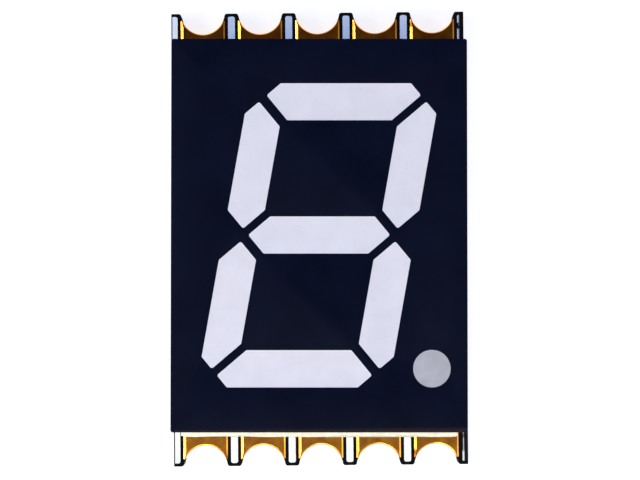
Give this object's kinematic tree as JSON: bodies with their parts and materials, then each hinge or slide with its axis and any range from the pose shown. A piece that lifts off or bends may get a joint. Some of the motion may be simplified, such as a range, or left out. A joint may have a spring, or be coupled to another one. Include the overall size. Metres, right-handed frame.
{
  "type": "seven segment display",
  "caption": "Surface-mount digit display: slanted seven-segment figure and decimal point in a dark face, on a board with half-round plated edge terminals.",
  "frame": {"origin": "on the solder plane, below the middle of the board", "axes": "+X to the right of the digit, +Y to its top, +Z out of the face"},
  "size_m": [0.0102, 0.0158, 0.004],
  "materials": {
    "laminate": "black glass-epoxy laminate, routed edges",
    "solder_mask": "white solder mask",
    "gold_plating": "gold-plated copper",
    "copper": "bare etched copper",
    "die": "sawn semiconductor",
    "gold_wire": "drawn gold wire",
    "resin": "milky cast epoxy",
    "adhesive": "cured milky adhesive",
    "reflector": "white moulded polycarbonate",
    "face_ink": "matte dark blue-black ink"
  },
  "bodies": {
    "root": {"laminate": "laminate", "front_mask": "solder_mask", "back_mask": "solder_mask", "terminal_1": "gold_plating", "terminal_2": "gold_plating", "terminal_3": "gold_plating", "terminal_4": "gold_plating", "terminal_5": "gold_plating", "terminal_6": "gold_plating", "terminal_7": "gold_plating", "terminal_8": "gold_plating", "terminal_9": "gold_plating", "terminal_10": "gold_plating", "common_track": "copper", "track_a": "copper", "die_a": "die", "wire_a": "gold_wire", "segment_a": "resin", "track_b": "copper", "die_b": "die", "wire_b": "gold_wire", "segment_b": "resin", "track_c": "copper", "die_c": "die", "wire_c": "gold_wire", "segment_c": "resin", "track_d": "copper", "die_d": "die", "wire_d": "gold_wire", "segment_d": "resin", "track_e": "copper", "die_e": "die", "wire_e": "gold_wire", "segment_e": "resin", "track_f": "copper", "die_f": "die", "wire_f": "gold_wire", "segment_f": "resin", "track_g": "copper", "die_g": "die", "wire_g": "gold_wire", "segment_g": "resin", "track_point": "copper", "die_point": "die", "wire_point": "gold_wire", "segment_point": "resin", "adhesive": "adhesive", "housing": "reflector", "face_ink": "face_ink"}
  },
  "joints": []
}
